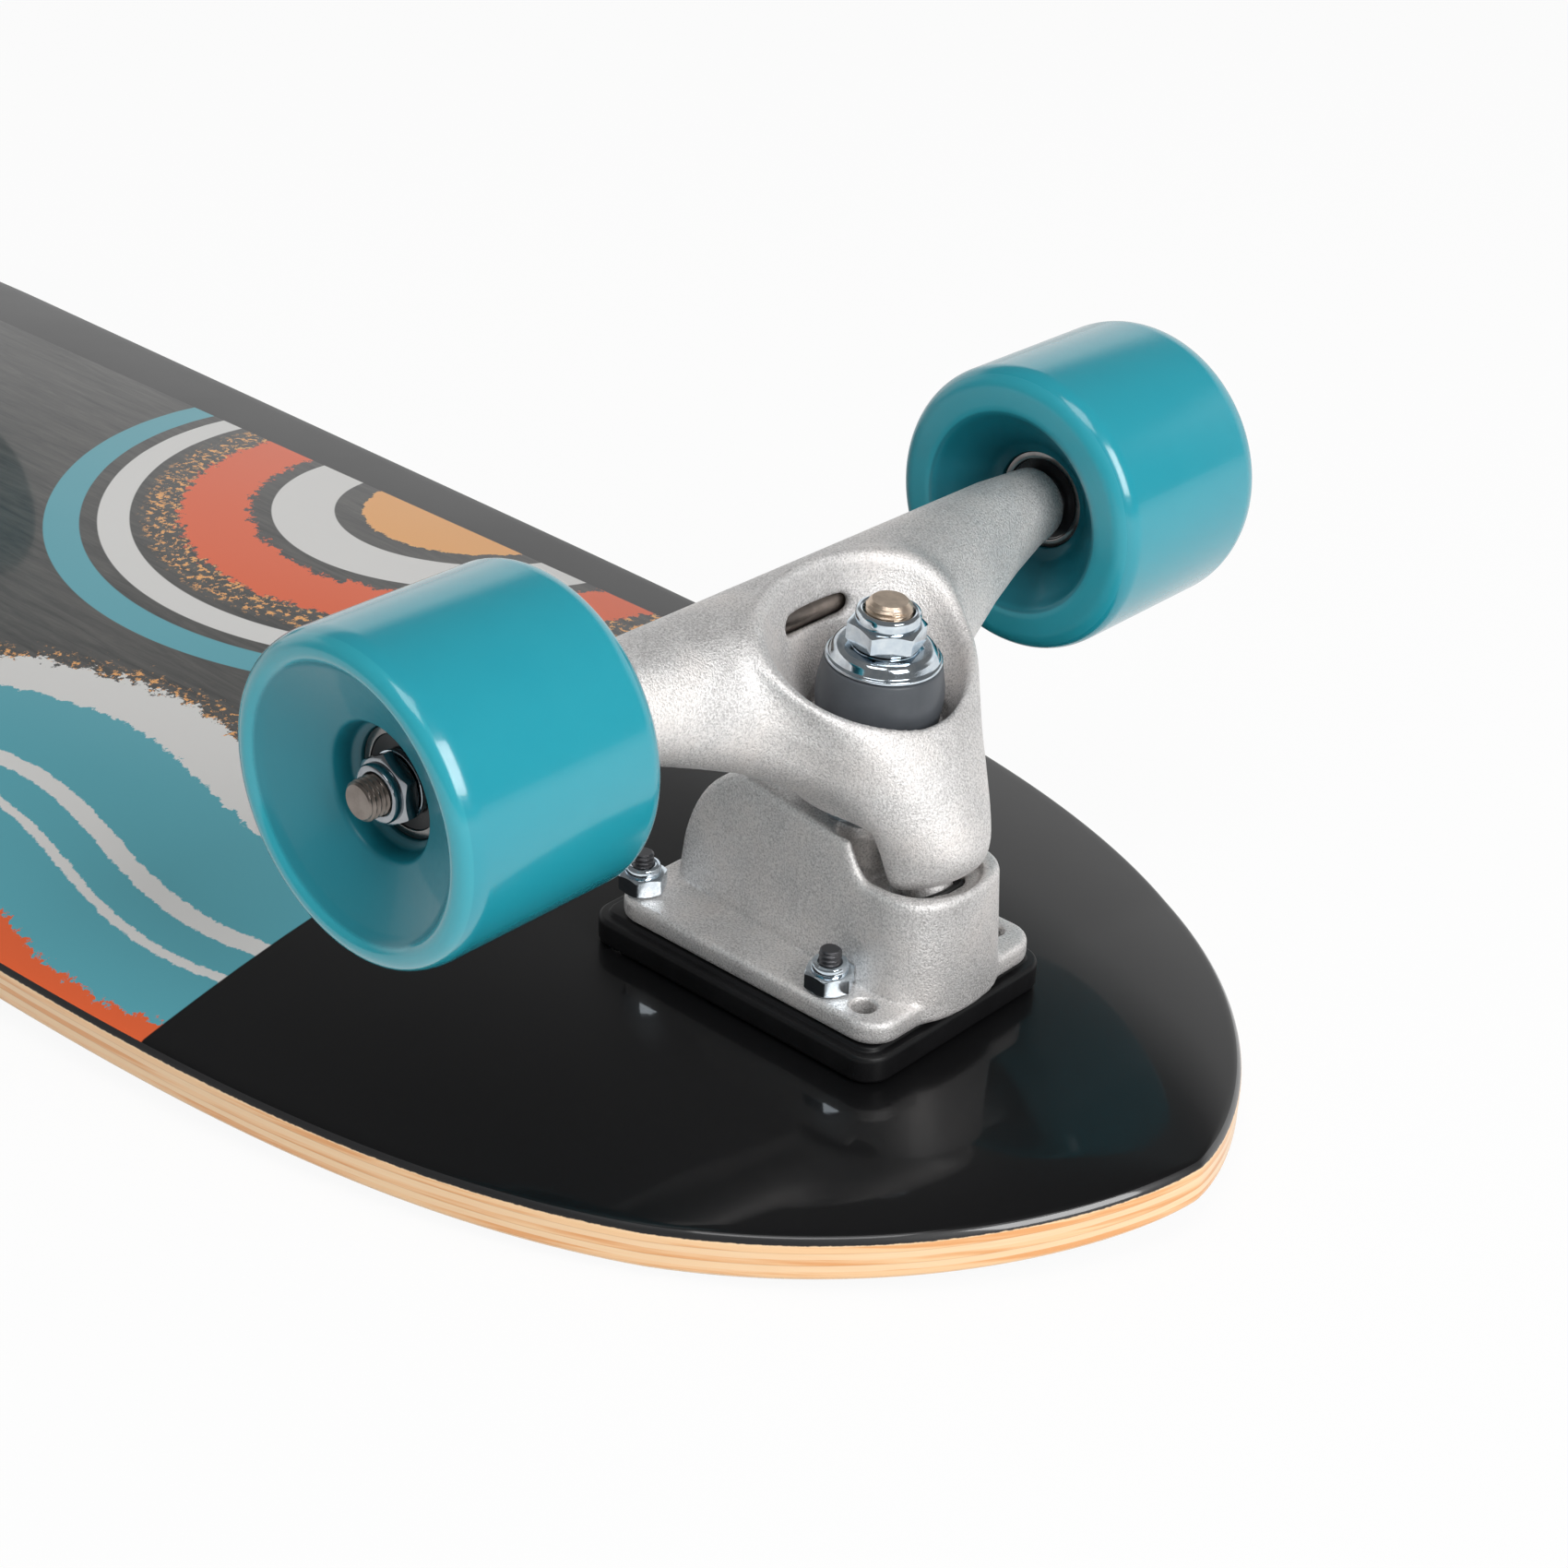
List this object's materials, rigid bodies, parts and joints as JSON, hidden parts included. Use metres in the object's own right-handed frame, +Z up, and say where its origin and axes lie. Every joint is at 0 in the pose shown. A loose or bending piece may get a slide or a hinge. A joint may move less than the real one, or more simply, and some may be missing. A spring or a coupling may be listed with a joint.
{
  "type": "surf skateboard",
  "caption": "Surf skateboard lying upside down on its deck: a concave wooden deck with a round pointed nose, cast trucks that steer by leaning, and wide urethane wheels.",
  "frame": {"origin": "middle of the board's bounding box in X and Y, on the floor that the upside-down board lies on", "axes": "+X towards the nose, +Z up, from the deck towards the wheels; the rider's left is -Y"},
  "size_m": [0.8138, 0.263, 0.1491],
  "materials": {
    "deck": "black gloss lacquer over maple, with a printed pattern",
    "grip": "coarse black grit",
    "moulding": "moulded black, satin",
    "casting": "blasted raw casting",
    "liner": "moulded black",
    "steel": "raw steel with a brown tinge",
    "zinc": "bright zinc plate",
    "black_steel": "dark plated steel",
    "bushing": "dark grey urethane",
    "urethane": "glossy teal urethane"
  },
  "bodies": {
    "board": {"deck": "deck", "grip_tape": "grip", "front_riser": "moulding", "front_baseplate": "casting", "front_pivot_cup": "liner", "front_kingpin": "steel", "front_washer_board_side": "zinc", "front_bushing_board_side": "bushing", "front_bushing_road_side": "bushing", "front_cup_washer": "zinc", "front_kingpin_nut": "zinc", "front_bolt_1": "black_steel", "front_bolt_2": "black_steel", "front_bolt_3": "black_steel", "front_bolt_4": "black_steel", "rear_riser": "moulding", "rear_baseplate": "casting", "rear_pivot_cup": "liner", "rear_kingpin": "steel", "rear_washer_board_side": "zinc", "rear_bushing_board_side": "bushing", "rear_bushing_road_side": "bushing", "rear_cup_washer": "zinc", "rear_kingpin_nut": "zinc", "rear_bolt_1": "black_steel", "rear_bolt_2": "black_steel", "rear_bolt_3": "black_steel", "rear_bolt_4": "black_steel"},
    "front_hanger_body": {"front_hanger": "casting", "front_axle": "steel", "front_left_spacer": "steel", "front_left_speed_washer_inner": "zinc", "front_left_speed_washer_outer": "zinc", "front_left_axle_nut": "black_steel", "front_right_spacer": "steel", "front_right_speed_washer_inner": "zinc", "front_right_speed_washer_outer": "zinc", "front_right_axle_nut": "black_steel"},
    "front_left_wheel_body": {"front_left_wheel": "urethane", "front_left_bearing_inner": "black_steel", "front_left_bearing_outer": "black_steel"},
    "front_right_wheel_body": {"front_right_wheel": "urethane", "front_right_bearing_inner": "black_steel", "front_right_bearing_outer": "black_steel"},
    "rear_hanger_body": {"rear_hanger": "casting", "rear_axle": "steel", "rear_left_spacer": "steel", "rear_left_speed_washer_inner": "zinc", "rear_left_speed_washer_outer": "zinc", "rear_left_axle_nut": "black_steel", "rear_right_spacer": "steel", "rear_right_speed_washer_inner": "zinc", "rear_right_speed_washer_outer": "zinc", "rear_right_axle_nut": "black_steel"},
    "rear_left_wheel_body": {"rear_left_wheel": "urethane", "rear_left_bearing_inner": "black_steel", "rear_left_bearing_outer": "black_steel"},
    "rear_right_wheel_body": {"rear_right_wheel": "urethane", "rear_right_bearing_inner": "black_steel", "rear_right_bearing_outer": "black_steel"}
  },
  "joints": [
    {"name": "front_steer", "type": "hinge", "parent": "board", "child": "front_hanger_body", "pos_m": [0.33632, 0, 0.04986], "axis": [-0.4862, 0, 0.8739], "range_deg": [-20, 20], "stiffness_Nm_per_rad": 60, "deforming": ["front_bushing_board_side", "front_bushing_road_side"]},
    {"name": "front_left_spin", "type": "hinge", "parent": "front_hanger_body", "child": "front_left_wheel_body", "pos_m": [0.29863, 0, 0.10184], "axis": [0, 1, 0], "continuous": true},
    {"name": "front_right_spin", "type": "hinge", "parent": "front_hanger_body", "child": "front_right_wheel_body", "pos_m": [0.29863, 0, 0.10184], "axis": [0, 1, 0], "continuous": true},
    {"name": "rear_steer", "type": "hinge", "parent": "board", "child": "rear_hanger_body", "pos_m": [-0.24541, 0, 0.06696], "axis": [0.5367, 0, 0.8438], "range_deg": [-20, 20], "stiffness_Nm_per_rad": 60, "deforming": ["rear_bushing_board_side", "rear_bushing_road_side"]},
    {"name": "rear_left_spin", "type": "hinge", "parent": "rear_hanger_body", "child": "rear_left_wheel_body", "pos_m": [-0.20473, 0, 0.11663], "axis": [0, 1, 0], "continuous": true},
    {"name": "rear_right_spin", "type": "hinge", "parent": "rear_hanger_body", "child": "rear_right_wheel_body", "pos_m": [-0.20473, 0, 0.11663], "axis": [0, 1, 0], "continuous": true}
  ]
}
